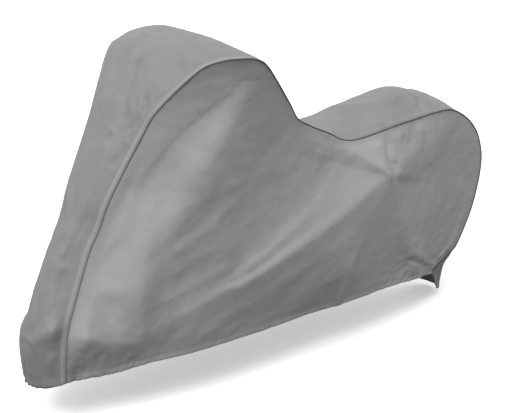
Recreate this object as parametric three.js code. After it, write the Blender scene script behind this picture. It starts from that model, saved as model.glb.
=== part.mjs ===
// A fitted cover of thin cloth, hollow and open below, in the shape in which it hangs when worn.
// One long centre panel runs from the nose hem over the high front hump, the dip and the tail
// down to the rear hem. A left and a right side panel are sewn to it along two piped seams.
// Millimetres. +X is forward, +Y is left, +Z is up. The origin is the point under the top of
// the front hump where the cover is held up. Heights in the tables are above the ground.

import * as THREE from 'three';

// Main sizes
const CLOTH_THICKNESS = 2;
const PIPING_RADIUS = 2.5;
const PIPING_SIDES = 6;
const SEAM_SETBACK = 3;
const CREST_HEIGHT = 1129.3;

// Steps of the sheets: up the front and the rear seam, along the top seam, and over the top
const RISE_STEPS = 22;
const TOP_STEPS = 40;
const ACROSS_STEPS = 12;

// Round of the centre panel between its seams: a parabola, flatter on top of the front hump,
// where the crown also leans to the right. The hump fades out ahead, behind and downwards.
const CROWN_POWER = 2.1;
const HUMP_EXTRA_POWER = 0.5;
const HUMP_LEAN = 0.15;
const HUMP_REACH = 200;
const HUMP_FOOT = 850;
const HUMP_FULL = 1000;

// The right end of the front hump is a little lower and nearer to the middle than the left one
const RIGHT_END_DROP = 16;
const RIGHT_END_TUCK = 0.05;

// How often the grid of a side panel is evened out, and how finely curves are read
const EVENING_ROUNDS = 600;
const SEAM_SAMPLES = 1200;
const FOLD_SAMPLES = 24;

// The sides belly out between the seam and the hem, most ahead of and above their middle.
// The folds of a side fade out over the last eleventh of the way to its seams.
const SIDE_BELLY = 50;
const BELLY_LEAD = 0.75;
const BELLY_LIFT = 0.9;
const FOLD_EDGE = 11;

// A spare corner of cloth hangs below the rear hem beside the left seam
const CORNER_HANG = 86;
const CORNER_WIDTH = 26;
const CORNER_PLACE = 78;
const CORNER_STEPS = 2;

const CLOTH_COLOUR = 0x8b8b8b;
const PIPING_COLOUR = 0x4c4c4c;

// Rows of a table become objects that name each value by its column.
function table(columns, rows) {
  return rows.map((row) => Object.fromEntries(columns.map((column, k) => [column, row[k]])));
}

// The left seam and, level with each row, the middle line of the centre panel. Ahead is
// measured from the origin, half is the distance from the middle plane.
const SEAM = table(
  ['place', 'ahead', 'half', 'height', 'ridgeAhead', 'ridgeHeight'],
  [
    ['nose hem', 530, 115, 150, 585, 120],
    ['nose', 525, 115, 240, 600, 230],
    ['nose top', 502, 106, 333, 570, 330],
    ['front low', 428, 102, 524, 474, 535],
    ['front middle', 389, 108, 604, 430, 615],
    ['waist', 351, 117, 696, 394, 708],
    ['shoulder low', 255, 145, 870, 291, 889],
    ['shoulder', 211, 170, 950, 246, 970],
    ['brow', 120, 243, 1063, 141, 1091],
    ['brow top', 62, 275, 1091, 71, 1119],
    ['crest', 5, 302, 1096, 8, 1134],
    ['hump end', -50, 310, 1087, -55, 1113],
    ['hump back', -105, 295, 1050, -122, 1064],
    ['back', -230, 240, 915, -250, 928],
    ['back foot', -280, 220, 855, -300, 865],
    ['dip slope', -360, 190, 811, -372, 812],
    ['dip edge', -458, 172, 766, -464, 764],
    ['dip', -530, 160, 729, -535, 750],
    ['saddle front', -609, 158, 719, -615, 758],
    ['saddle', -793, 157, 737, -802, 805],
    ['saddle rear', -890, 156, 744, -900, 818],
    ['tail front', -972, 153, 749, -985, 808],
    ['tail top', -1055, 148, 745, -1070, 770],
    ['tail edge', -1125, 140, 715, -1145, 722],
    ['tail corner', -1180, 135, 675, -1208, 675],
    ['tail turn', -1225, 130, 620, -1258, 618],
    ['rear high', -1250, 130, 540, -1288, 540],
    ['rear', -1250, 125, 450, -1295, 448],
    ['rear low', -1225, 120, 340, -1280, 335],
    ['tuck start', -1180, 120, 250, -1258, 238],
    ['tuck', -1143, 119, 198, -1232, 172],
    ['tuck end', -1088, 116, 160, -1172, 104],
    ['rear hem', -1020, 118, 124, -1156, 78],
  ],
);
const SEAM_COLUMNS = ['ahead', 'half', 'height', 'ridgeAhead', 'ridgeHeight'];
const placeOf = (name) => SEAM.findIndex((row) => row.place === name);
const HUMP_END = placeOf('hump end');
const TAIL_CORNER = placeOf('tail corner');
const REAR_HEM = placeOf('rear hem');

// The hem of a side panel, from the nose to the tail
const HEM = table(
  ['place', 'ahead', 'half', 'height'],
  [
    ['nose', 530, 115, 150],
    ['nose side', 450, 155, 166],
    ['front', 310, 185, 165],
    ['front middle', 116, 200, 166],
    ['middle', -90, 200, 164],
    ['middle rear', -283, 200, 163],
    ['rear side', -426, 200, 157],
    ['rear', -575, 200, 160],
    ['rear gather', -749, 180, 155],
    ['tail side', -916, 160, 142],
    ['tail gather', -975, 132, 130],
    ['tail', -1020, 118, 124],
  ],
);
const HEM_COLUMNS = ['ahead', 'half', 'height'];

// Folds are soft ridges, or troughs where the lift is negative. Each runs from a start through
// a middle point to an end. Lift goes from liftStart to liftEnd. Upper and lower are the widths
// of its flanks, to the left and to the right of it as seen with ahead to the right.
const FOLD_COLUMNS = ['fold', 'x0', 'z0', 'x1', 'z1', 'x2', 'z2', 'liftStart', 'liftEnd', 'upper', 'lower'];

// Ahead and height of the folds of the left side
const LEFT_FOLDS = table(FOLD_COLUMNS, [
  ['hump end ridge', -56, 1040, 62, 830, 200, 620, 32, 24, 105, 90],
  ['front ridge', 200, 620, 286, 440, 312, 255, 20, 7, 115, 80],
  ['shelf ridge', -690, 594, -300, 428, 240, 305, 24, 12, 100, 45],
  ['upper shelf ridge', -474, 702, -265, 555, -20, 416, 7, 8, 50, 42],
  ['pinch to tail ridge', -700, 598, -861, 641, -1010, 706, 18, 6, 40, 75],
  ['pinch to dip trough', -665, 603, -578, 632, -465, 711, -10, -5, 32, 32],
  ['pinch to seam trough', -688, 608, -682, 664, -698, 716, -8, -5, 30, 30],
  ['pinch to hem ridge', -690, 584, -570, 425, -462, 215, 8, 14, 35, 45],
  ['hem trough', -464, 331, -424, 250, -389, 208, -9, -10, 32, 32],
  ['pinch to rear trough', -705, 572, -789, 418, -886, 243, -9, -7, 60, 45],
  ['front hem hollow', 463, 304, 424, 278, 389, 262, -6, -6, 32, 32],
  ['low ridge', -477, 445, -336, 406, -212, 357, 6, 5, 32, 32],
]);

// Ahead and height of the folds of the right side, which hangs a little differently
const RIGHT_FOLDS = table(FOLD_COLUMNS, [
  ['hump end ridge', -60, 1035, 60, 770, 200, 480, 32, 14, 70, 105],
  ['front ridge', 210, 480, 300, 350, 420, 250, 14, 8, 60, 80],
  ['shelf ridge', -650, 600, -300, 455, 120, 350, 22, 12, 95, 45],
  ['saddle ridge', -660, 605, -850, 610, -1020, 660, 16, 8, 40, 70],
  ['dip trough', -610, 610, -540, 650, -450, 690, -12, -6, 35, 35],
  ['rear ridge', -655, 580, -640, 400, -590, 200, 10, 12, 45, 40],
  ['rear trough', -700, 560, -830, 420, -960, 260, -10, -8, 50, 50],
  ['long trough', 60, 640, -120, 560, -330, 560, -8, -6, 60, 50],
  ['hem trough', 40, 290, -80, 250, -220, 215, -8, -8, 40, 35],
]);

// Way along the seam from the nose hem, and distance left of the middle, of the centre folds
const CENTRE_FOLDS = table(FOLD_COLUMNS, [
  ['front ridge', 1075, -70, 950, 10, 790, 55, 7, 5, 35, 30],
  ['front trough', 1010, -20, 900, 60, 770, 95, -5, -5, 35, 30],
  ['low front ridge', 720, 35, 560, 60, 400, 45, 5, 5, 35, 30],
  ['nose hollow', 190, 60, 150, 20, 130, -40, -7, -7, 40, 35],
  ['nose ridge', 110, -30, 90, 20, 60, 60, 7, 5, 35, 30],
  ['saddle ridge', 1990, -60, 2060, 10, 2150, 60, 6, 4, 45, 40],
  ['tail trough', 2330, 80, 2300, 0, 2330, -80, -5, -5, 40, 40],
  ['rear trough', 2660, 60, 2700, 0, 2780, -50, -6, -6, 40, 35],
]);

// Catmull-Rom curve through the rows, read at a place counted in rows.
function readSpline(rows, columns, place) {
  const last = rows.length - 1;
  const k = Math.min(Math.floor(place), last - 1);
  const f = place - k;
  return columns.map((column) => {
    const b = rows[k][column];
    const c = rows[k + 1][column];
    const a = k > 0 ? rows[k - 1][column] : 2 * b - c;
    const d = k + 2 <= last ? rows[k + 2][column] : 2 * c - b;
    const linear = (c - a) * f;
    const square = (2 * a - 5 * b + 4 * c - d) * f ** 2;
    const cube = (3 * b - a - 3 * c + d) * f ** 3;
    return 0.5 * (2 * b + linear + square + cube);
  });
}

// Places spaced evenly by length between two rows.
function evenPlaces(rows, columns, from, to, steps) {
  const way = [0];
  let before = readSpline(rows, columns, from);
  for (let i = 1; i <= SEAM_SAMPLES; i += 1) {
    const here = readSpline(rows, columns, from + ((to - from) * i) / SEAM_SAMPLES);
    way.push(way[i - 1] + Math.hypot(here[0] - before[0], here[1] - before[1], here[2] - before[2]));
    before = here;
  }
  const places = [];
  let i = 0;
  for (let step = 0; step <= steps; step += 1) {
    const goal = (way[SEAM_SAMPLES] * step) / steps;
    while (i < SEAM_SAMPLES - 1 && way[i + 1] < goal) i += 1;
    const part = (goal - way[i]) / (way[i + 1] - way[i]);
    places.push(from + ((to - from) * (i + part)) / SEAM_SAMPLES);
  }
  return places;
}

// How near a seam row is to the crest, 1 there and fading to 0 ahead and behind.
function humpShare(ahead, height) {
  return Math.exp(-((ahead / HUMP_REACH) ** 2)) * THREE.MathUtils.smoothstep(height, HUMP_FOOT, HUMP_FULL);
}

// A point of a seam, with side +1 for the left and -1 for the right.
function seamPoint([ahead, half, height], side) {
  const ease = side < 0 ? humpShare(ahead, height) : 0;
  const y = side * half * (1 - RIGHT_END_TUCK * ease);
  return new THREE.Vector3(ahead, y, height - RIGHT_END_DROP * ease - CREST_HEIGHT);
}

// Shift of a point by all folds: each is a bell across its curve, with a width for each flank.
function foldLift(folds, u, v) {
  let lift = 0;
  for (const fold of folds) {
    const start = new THREE.Vector2(fold.x0, fold.z0);
    const end = new THREE.Vector2(fold.x2, fold.z2);
    const middle = new THREE.Vector2(fold.x1, fold.z1);
    const pull = middle.multiplyScalar(2).sub(start.clone().add(end).multiplyScalar(0.5));
    const curve = new THREE.QuadraticBezierCurve(start, pull, end);
    let nearest = Infinity;
    let share = 0;
    for (let i = 0; i <= FOLD_SAMPLES; i += 1) {
      const p = curve.getPoint(i / FOLD_SAMPLES);
      const distance = Math.hypot(p.x - u, p.y - v);
      if (distance < nearest) {
        nearest = distance;
        share = i / FOLD_SAMPLES;
      }
    }
    const p = curve.getPoint(share);
    const way = curve.getTangent(share);
    const isUpper = way.x * (v - p.y) - way.y * (u - p.x) > 0;
    const width = isUpper ? fold.upper : fold.lower;
    const height = fold.liftStart + (fold.liftEnd - fold.liftStart) * share;
    lift += height * Math.exp(-((nearest / width) ** 2));
  }
  return lift;
}

// Unit normals of a grid, from the differences between neighbours.
function gridNormals(grid) {
  const rows = grid.length - 1;
  const columns = grid[0].length - 1;
  return grid.map((line, i) => line.map((point, j) => {
    const along = grid[Math.min(i + 1, rows)][j].clone().sub(grid[Math.max(i - 1, 0)][j]);
    const over = grid[i][Math.min(j + 1, columns)].clone().sub(grid[i][Math.max(j - 1, 0)]);
    return along.cross(over).normalize();
  }));
}

// The edge of a sheet beside the piping: each seam point moves towards a point inside the sheet,
// square to the seam.
function cutBack(seam, insideOf) {
  return seam.map((point, i) => {
    const before = seam[Math.max(i - 1, 0)];
    const after = seam[Math.min(i + 1, seam.length - 1)];
    const way = after.clone().sub(before).normalize();
    const inward = insideOf(i).sub(point);
    inward.addScaledVector(way, -inward.dot(way)).normalize();
    return point.clone().addScaledVector(inward, SEAM_SETBACK);
  });
}

// Evens out a grid: every inner point goes to the middle of its four neighbours, over and over.
function evenOut(grid) {
  for (let round = 0; round < EVENING_ROUNDS; round += 1) {
    for (let i = 1; i < grid.length - 1; i += 1) {
      for (let j = 1; j < grid[i].length - 1; j += 1) {
        grid[i][j].addVectors(grid[i - 1][j], grid[i + 1][j]);
        grid[i][j].add(grid[i][j - 1]).add(grid[i][j + 1]).multiplyScalar(0.25);
      }
    }
  }
}

// A closed sheet: the outer grid, the inner grid one cloth thickness below it, and four rims.
function sheetGeometry(outer) {
  const normals = gridNormals(outer);
  const inner = outer.map((line, i) => line.map(
    (point, j) => point.clone().addScaledVector(normals[i][j], -CLOTH_THICKNESS),
  ));
  const rows = outer.length;
  const columns = outer[0].length;
  const points = [...outer.flat(), ...inner.flat()];
  const below = rows * columns;
  const at = (i, j) => i * columns + j;
  const faces = [];
  const quad = (a, b, c, d) => faces.push(a, b, c, a, c, d);
  for (let i = 0; i < rows - 1; i += 1) {
    for (let j = 0; j < columns - 1; j += 1) {
      quad(at(i, j), at(i + 1, j), at(i + 1, j + 1), at(i, j + 1));
      quad(below + at(i, j), below + at(i, j + 1), below + at(i + 1, j + 1), below + at(i + 1, j));
    }
  }
  const rim = [];
  for (let j = 0; j < columns - 1; j += 1) rim.push([at(0, j), at(0, j + 1)]);
  for (let i = 0; i < rows - 1; i += 1) rim.push([at(i, columns - 1), at(i + 1, columns - 1)]);
  for (let j = columns - 1; j > 0; j -= 1) rim.push([at(rows - 1, j), at(rows - 1, j - 1)]);
  for (let i = rows - 1; i > 0; i -= 1) rim.push([at(i, 0), at(i - 1, 0)]);
  for (const [a, b] of rim) quad(a, b, below + b, below + a);
  return solid(points, faces);
}

// A closed tube along a seam.
function pipingGeometry(path) {
  const points = [];
  const faces = [];
  path.forEach((centre, i) => {
    const way = path[Math.min(i + 1, path.length - 1)].clone().sub(path[Math.max(i - 1, 0)]).normalize();
    const out = new THREE.Vector3(0, 1, 0).addScaledVector(way, -way.y).normalize();
    const up = way.clone().cross(out);
    for (let k = 0; k < PIPING_SIDES; k += 1) {
      const turn = (2 * Math.PI * k) / PIPING_SIDES;
      points.push(centre.clone()
        .addScaledVector(out, PIPING_RADIUS * Math.cos(turn))
        .addScaledVector(up, PIPING_RADIUS * Math.sin(turn)));
    }
  });
  const at = (i, k) => i * PIPING_SIDES + (k % PIPING_SIDES);
  const last = path.length - 1;
  for (let i = 0; i < last; i += 1) {
    for (let k = 0; k < PIPING_SIDES; k += 1) {
      faces.push(at(i, k), at(i, k + 1), at(i + 1, k + 1), at(i, k), at(i + 1, k + 1), at(i + 1, k));
    }
  }
  for (let k = 1; k < PIPING_SIDES - 1; k += 1) {
    faces.push(at(0, 0), at(0, k + 1), at(0, k));
    faces.push(at(last, 0), at(last, k), at(last, k + 1));
  }
  return solid(points, faces);
}

function solid(points, faces) {
  const geometry = new THREE.BufferGeometry();
  geometry.setFromPoints(points);
  geometry.setIndex(faces);
  return geometry;
}

// The seam rows at the places that all pieces share: up the front, along the top, down the rear.
const frontPlaces = evenPlaces(SEAM, SEAM_COLUMNS, 0, HUMP_END, RISE_STEPS);
const topPlaces = evenPlaces(SEAM, SEAM_COLUMNS, HUMP_END, TAIL_CORNER, TOP_STEPS);
const rearPlaces = evenPlaces(SEAM, SEAM_COLUMNS, TAIL_CORNER, REAR_HEM, RISE_STEPS);
const seamRows = (places) => places.map((place) => readSpline(SEAM, SEAM_COLUMNS, place));
const wholeSeam = seamRows([...frontPlaces, ...topPlaces.slice(1), ...rearPlaces.slice(1)]);

// The centre panel: each line arches from the left seam over the ridge to the right seam.
function centreGrid() {
  let way = 0;
  const ways = [];
  const lines = wholeSeam.map((row, i) => {
    const [ahead, half, height, ridgeAhead, ridgeHeight] = row;
    if (i > 0) way += seamPoint(row, 1).distanceTo(seamPoint(wholeSeam[i - 1], 1));
    ways.push(way);
    const hump = humpShare(ahead, height);
    const line = [];
    for (let j = 0; j <= ACROSS_STEPS; j += 1) {
      const across = 1 - (2 * j) / ACROSS_STEPS;
      const leaned = across + HUMP_LEAN * hump * (1 - across ** 2);
      const arch = 1 - Math.abs(leaned) ** (CROWN_POWER + HUMP_EXTRA_POWER * hump);
      const point = seamPoint([ahead, half, height], Math.sign(across));
      point.y = Math.abs(across) * point.y;
      point.x += (ridgeAhead - ahead) * arch;
      point.z += (ridgeHeight - height) * arch;
      if (across < 0) point.z += RIGHT_END_DROP * hump * (1 - across ** 2);
      line.push(point);
    }
    return line;
  });
  const normals = gridNormals(lines);
  const grid = lines.map((line, i) => line.map((point, j) => {
    const inside = Math.sin((Math.PI * j) / ACROSS_STEPS) ** 0.5;
    const lift = foldLift(CENTRE_FOLDS, ways[i], point.y) * inside;
    const moved = point.clone().addScaledVector(normals[i][j], lift);
    const nearHem = Math.max(0, i + CORNER_STEPS - lines.length + 1) / CORNER_STEPS;
    const nearCorner = Math.exp(-(((point.y - CORNER_PLACE) / CORNER_WIDTH) ** 2));
    moved.z -= CORNER_HANG * nearHem * nearCorner * inside;
    return moved;
  }));
  const left = cutBack(grid.map((line) => line[0]), (i) => grid[i][1].clone());
  const right = cutBack(grid.map((line) => line[ACROSS_STEPS]), (i) => grid[i][ACROSS_STEPS - 1].clone());
  return grid.map((line, i) => [left[i], ...line.slice(1, -1), right[i]]);
}

// A side panel: a patch between the front seam, the top seam, the rear seam and the hem, with
// a belly in its middle and the folds on it.
function sideGrid(side, folds) {
  const front = seamRows(frontPlaces).map((row) => seamPoint(row, side));
  const top = seamRows(topPlaces).map((row) => seamPoint(row, side));
  const rear = seamRows(rearPlaces).reverse().map((row) => seamPoint(row, side));
  const hem = evenPlaces(HEM, HEM_COLUMNS, 0, HEM.length - 1, TOP_STEPS)
    .map((place) => seamPoint(readSpline(HEM, HEM_COLUMNS, place), side));
  const grid = hem.map((foot, i) => front.map((rise, j) => {
    const s = i / TOP_STEPS;
    const t = j / RISE_STEPS;
    return new THREE.Vector3()
      .addScaledVector(foot, 1 - t)
      .addScaledVector(top[i], t)
      .addScaledVector(rise, 1 - s)
      .addScaledVector(rear[j], s)
      .addScaledVector(hem[0], -(1 - s) * (1 - t))
      .addScaledVector(hem[TOP_STEPS], -s * (1 - t))
      .addScaledVector(top[0], -(1 - s) * t)
      .addScaledVector(top[TOP_STEPS], -s * t);
  }));
  evenOut(grid);
  grid.forEach((line, i) => line.forEach((point, j) => {
    const s = i / TOP_STEPS;
    const t = j / RISE_STEPS;
    const belly = Math.sin(Math.PI * s ** BELLY_LEAD) * Math.sin(Math.PI * t ** BELLY_LIFT);
    const inside = Math.min(1, FOLD_EDGE * s, FOLD_EDGE * (1 - s), FOLD_EDGE * (1 - t));
    const lift = foldLift(folds, point.x, point.z + CREST_HEIGHT) * inside;
    point.y += side * (SIDE_BELLY * Math.max(0, belly) + lift);
  }));
  const edge = [
    ...front.map((_, j) => [0, j]),
    ...top.slice(1).map((_, i) => [i + 1, RISE_STEPS]),
    ...rear.slice(1).map((_, j) => [TOP_STEPS, RISE_STEPS - 1 - j]),
  ];
  const within = (k, last) => THREE.MathUtils.clamp(k, 1, last - 1);
  const insideOf = (k) => grid[within(edge[k][0], TOP_STEPS)][within(edge[k][1], RISE_STEPS)].clone();
  const cut = cutBack(edge.map(([i, j]) => grid[i][j]), insideOf);
  edge.forEach(([i, j], k) => grid[i][j].copy(cut[k]));
  return side > 0 ? grid : grid.reverse();
}

function piece(name, geometry, colour, roughness) {
  geometry.computeVertexNormals();
  const material = new THREE.MeshStandardMaterial({ color: colour, roughness, metalness: 0 });
  const mesh = new THREE.Mesh(geometry, material);
  mesh.name = name;
  return mesh;
}

const cover = new THREE.Group();
cover.name = 'fitted_cover';
cover.add(piece('centre_panel', sheetGeometry(centreGrid()), CLOTH_COLOUR, 0.85));
cover.add(piece('left_side_panel', sheetGeometry(sideGrid(1, LEFT_FOLDS)), CLOTH_COLOUR, 0.85));
cover.add(piece('right_side_panel', sheetGeometry(sideGrid(-1, RIGHT_FOLDS)), CLOTH_COLOUR, 0.85));
for (const [name, side] of [['left_seam_piping', 1], ['right_seam_piping', -1]]) {
  const path = wholeSeam.map((row) => seamPoint(row, side));
  cover.add(piece(name, pipingGeometry(path), PIPING_COLOUR, 0.7));
}

export default cover;
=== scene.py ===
"""A fitted cover of thin grey cloth, hollow and open below, as it hangs when it is worn.

A long centre panel runs from the nose hem over the front hump, the dip and the tail to the rear
hem, and two side panels are sewn to it along piped seams. Sizes are in millimetres, with heights
above the floor in the tables, as a cutter would write them, and finishes are in metres. The origin
is just under the crest.
"""
import logging
import math
from dataclasses import dataclass, field
from enum import Enum

import bpy
import numpy as np
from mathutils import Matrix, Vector


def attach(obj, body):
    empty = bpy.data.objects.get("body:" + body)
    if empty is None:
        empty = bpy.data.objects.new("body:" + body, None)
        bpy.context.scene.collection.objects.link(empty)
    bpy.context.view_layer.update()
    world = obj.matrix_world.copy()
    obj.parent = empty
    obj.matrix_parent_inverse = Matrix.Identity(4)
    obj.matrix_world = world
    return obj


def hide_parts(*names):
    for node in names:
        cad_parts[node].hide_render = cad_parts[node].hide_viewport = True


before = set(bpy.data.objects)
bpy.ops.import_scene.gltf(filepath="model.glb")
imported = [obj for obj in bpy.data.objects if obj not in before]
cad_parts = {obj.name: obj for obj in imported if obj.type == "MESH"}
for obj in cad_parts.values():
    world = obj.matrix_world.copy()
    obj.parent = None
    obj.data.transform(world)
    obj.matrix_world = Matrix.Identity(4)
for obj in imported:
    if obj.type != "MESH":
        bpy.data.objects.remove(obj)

Array = np.ndarray
Pair = tuple[float, float]
Triple = tuple[float, float, float]
Span = tuple[float, float, float, float]
Steps = tuple[int, int, int]
Material = bpy.types.Material
Piece = bpy.types.Object
LOG = logging.getLogger("cover")
MILLIMETRE = 0.001
CREST_HEIGHT = 1129.3
TURN = 2 * math.pi


class Side(Enum):
    """Which side of the cover a piece is on, as the sign of its Y."""

    LEFT = 1
    RIGHT = -1


class FoldForm(Enum):
    """How a fold falls off beside its line."""

    SOFT = "soft"
    CREASE = "crease"
    TENT = "tent"


CREASE, TENT = FoldForm.CREASE, FoldForm.TENT


@dataclass(frozen=True)
class EdgeRow:
    """A place on the left edge of a panel: how far ahead, left of the middle and up it lies."""

    place: str
    ahead: float
    half: float
    height: float


@dataclass(frozen=True)
class SeamRow(EdgeRow):
    """A place on the left seam, and the point level with it on the centre panel's middle line."""

    ridge_ahead: float
    ridge_height: float


SEAM_ROWS = tuple(SeamRow(*row) for row in (
    ("nose hem", 530, 115, 150, 585, 120),
    ("nose", 525, 115, 240, 600, 230),
    ("nose top", 502, 106, 333, 570, 330),
    ("front low", 428, 102, 524, 474, 535),
    ("front middle", 389, 108, 604, 430, 615),
    ("waist", 351, 117, 696, 394, 708),
    ("shoulder low", 255, 145, 870, 291, 889),
    ("shoulder", 211, 170, 950, 246, 970),
    ("brow", 120, 243, 1063, 141, 1091),
    ("brow top", 62, 275, 1091, 71, 1119),
    ("crest", 5, 302, 1096, 8, 1134),
    ("hump end", -50, 310, 1087, -55, 1113),
    ("hump back", -105, 295, 1050, -122, 1064),
    ("back", -230, 240, 915, -250, 928),
    ("back foot", -280, 220, 855, -300, 865),
    ("dip slope", -360, 190, 811, -372, 812),
    ("dip edge", -458, 172, 766, -464, 764),
    ("dip", -530, 160, 729, -535, 750),
    ("saddle front", -609, 158, 719, -615, 758),
    ("saddle", -793, 157, 737, -802, 805),
    ("saddle rear", -890, 156, 744, -900, 818),
    ("tail front", -972, 153, 749, -985, 808),
    ("tail top", -1055, 148, 745, -1070, 770),
    ("tail edge", -1125, 140, 715, -1145, 722),
    ("tail corner", -1180, 135, 675, -1208, 675),
    ("tail turn", -1225, 130, 620, -1258, 618),
    ("rear high", -1250, 130, 540, -1288, 540),
    ("rear", -1250, 125, 450, -1295, 448),
    ("rear low", -1225, 120, 340, -1280, 335),
    ("tuck start", -1180, 120, 250, -1258, 238),
    ("tuck", -1143, 119, 198, -1232, 172),
    ("tuck end", -1088, 116, 160, -1172, 104),
    ("rear hem", -1020, 118, 124, -1156, 78),
))

HEM_ROWS = tuple(EdgeRow(*row) for row in (
    ("nose", 530, 115, 150),
    ("nose side", 450, 155, 166),
    ("front", 310, 185, 165),
    ("front middle", 116, 200, 166),
    ("middle", -90, 200, 164),
    ("middle rear", -283, 200, 163),
    ("rear side", -426, 200, 157),
    ("rear", -575, 200, 160),
    ("rear gather", -749, 180, 155),
    ("tail side", -916, 160, 142),
    ("tail gather", -975, 132, 130),
    ("tail", -1020, 118, 124),
))


def smooth_step(value: Array, start: float, full: float) -> Array:
    """Goes from 0 at start to 1 at full, which may be the smaller, along 3t^2 - 2t^3."""
    t = np.clip((value - start) / (full - start), 0, 1)
    return t * t * (3 - 2 * t)


def plateau(value: Array, start: float, full: float, last: float, stop: float) -> Array:
    """Goes from 0 at start to 1 at full, stays there until last, and is 0 again at stop."""
    return smooth_step(value, start, full) * smooth_step(value, stop, last)


def bell(value: Array, width: float) -> Array:
    """A bell round 0: exp(-(value/width)^2)."""
    return np.exp(-((value / width) ** 2))


def crowded_ends(steps: int, crowding: float) -> Array:
    """Shares from 0 to 1 that lie closer together at both ends: t - c sin(2 pi t) / (2 pi)."""
    t = np.linspace(0, 1, steps + 1)
    return t - crowding * np.sin(TURN * t) / TURN


def grid_normals(grid: Array) -> Array:
    """Unit normals of a grid of points: the cross product of its two directions."""
    across = np.cross(np.gradient(grid, axis=0), np.gradient(grid, axis=1))
    return across / np.maximum(np.linalg.norm(across, axis=2, keepdims=True), 1e-12)


def length_along(grid: Array, axis: int) -> Array:
    """Length walked from the first line of a grid to each of its points, along one axis."""
    steps = np.linalg.norm(np.diff(grid, axis=axis), axis=2)
    return np.insert(np.cumsum(steps, axis=axis), 0, 0.0, axis=axis)


@dataclass(frozen=True)
class Spline:
    """A Catmull-Rom curve through rows of numbers, read at places that are counted in rows."""

    rows: Array  # one row of values for each place, of any width
    measured: int = 4000  # points between which its length is measured

    def at(self, places: Array) -> Array:
        """Reads the curve.

        Between rows b and c, with a before and d after them and f the share of the way, it is
        (2b + (c - a) f + (2a - 5b + 4c - d) f^2 + (3b - a - 3c + d) f^3) / 2.

        Args:
            places: Places, from 0 to the last row.

        Returns:
            One row of values for each place.
        """
        before = 2 * self.rows[:1] - self.rows[1:2]
        after = 2 * self.rows[-1:] - self.rows[-2:-1]
        padded = np.concatenate([before, self.rows, after])
        k = np.clip(np.floor(places).astype(int), 0, len(self.rows) - 2)
        f = (places - k)[:, None]
        a, b, c, d = (padded[k + i] for i in range(4))
        square, cube = 2 * a - 5 * b + 4 * c - d, 3 * b - a - 3 * c + d
        return 0.5 * (2 * b + (c - a) * f + square * f**2 + cube * f**3)

    def places(self, start: float, stop: float, shares: Array) -> Array:
        """Finds places that lie at given shares of the length between two places.

        Args:
            start: The place where the stretch begins.
            stop: The place where it ends.
            shares: Shares of its length, from 0 to 1.

        Returns:
            A place for each share.
        """
        fine = np.linspace(start, stop, self.measured)
        way = length_along(self.at(fine)[:, None, :3], 0)[:, 0]
        return np.interp(shares * way[-1], way, fine)


@dataclass(frozen=True)
class Fold:
    """A fold on a panel: a ridge, or a trough where its lift is negative. Sizes in millimetres."""

    name: str  # what a cutter would call it
    start: Pair  # where its line begins, in the panel's two coordinates
    middle: Pair  # a point that its line passes halfway
    end: Pair  # where its line ends
    lift: Pair  # its height at the start and at the end
    widths: Pair  # how wide its flanks are at the start, left and right of its line
    spread: float = 1.0  # how many times as wide they are at the end
    form: FoldForm = FoldForm.SOFT  # how its flanks fall off
    rounding: float = 9.0  # radius of its top, where it is a crease or a tent

    # Points on its line, and how many widths its flanks reach, as any fold and as a crease
    POINTS, REACH, CREASE_REACH = 41, 2.6, 4.5
    # Share of a width over which the two flanks blend, and softness of a tent's foot
    BLEND, FOOT = 0.2, 0.22

    def line(self) -> tuple[Array, Array]:
        """Works out its line, a parabola through the three points.

        Returns:
            Points of the line, and its direction at each of them.
        """
        start, middle, end = (np.array(p, float) for p in (self.start, self.middle, self.end))
        pull = 2 * middle - (start + end) / 2
        t = np.linspace(0, 1, self.POINTS)[:, None]
        way = (1 - t) * (pull - start) + t * (end - pull)
        way = way / np.maximum(np.linalg.norm(way, axis=1, keepdims=True), 1e-9)
        return (1 - t) ** 2 * start + 2 * t * (1 - t) * pull + t**2 * end, way

    def at(self, u: Array, v: Array) -> Array:
        """Works out the lift of each point.

        With d the distance to the line and w the width of that flank, a soft fold's lift is
        h exp(-(d/w)^2). With e = sqrt(d^2 + r^2) - r, where r is the rounding, a crease's lift is
        h exp(-e/w) and a tent's is h (1 - e/w), brought softly to 0 at its foot.

        Args:
            u: First coordinates of the points.
            v: Second coordinates of the points.

        Returns:
            Lifts, in the shape of u.
        """
        line, way = self.line()
        wide = max(self.widths) * max(self.spread, 1.0)
        reach = wide * (self.CREASE_REACH if self.form is CREASE else self.REACH)
        low, high = line.min(0) - reach, line.max(0) + reach
        near = (u > low[0]) & (u < high[0]) & (v > low[1]) & (v < high[1])
        pu, pv = u[near], v[near]
        best = np.full(pu.shape, np.inf)
        share, across = np.zeros(pu.shape), np.zeros(pu.shape)
        for k, step in enumerate(np.diff(line, axis=0)):
            du, dv = pu - line[k, 0], pv - line[k, 1]
            f = np.clip((du * step[0] + dv * step[1]) / max(float(step @ step), 1e-9), 0, 1)
            du, dv = du - f * step[0], dv - f * step[1]
            distance = np.hypot(du, dv)
            closer = distance < best
            best = np.where(closer, distance, best)
            share = np.where(closer, (k + f) / (len(line) - 1), share)
            across = np.where(closer, way[k, 0] * dv - way[k, 1] * du, across)
        blend = smooth_step(across / wide, -self.BLEND, self.BLEND)
        width = self.widths[1] + (self.widths[0] - self.widths[1]) * blend
        width = width * (1 + (self.spread - 1) * share)
        eased = (np.hypot(best, self.rounding) - self.rounding) / width
        if self.form is FoldForm.SOFT:
            fall = bell(best, width)
        elif self.form is CREASE:
            fall = np.exp(-eased)
        else:
            fall = (1 - eased + np.hypot(1 - eased, self.FOOT)) / (1 + math.hypot(1, self.FOOT))
        lifts = np.zeros(u.shape)
        lifts[near] = (self.lift[0] + (self.lift[1] - self.lift[0]) * share) * fall
        return lifts


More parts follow.
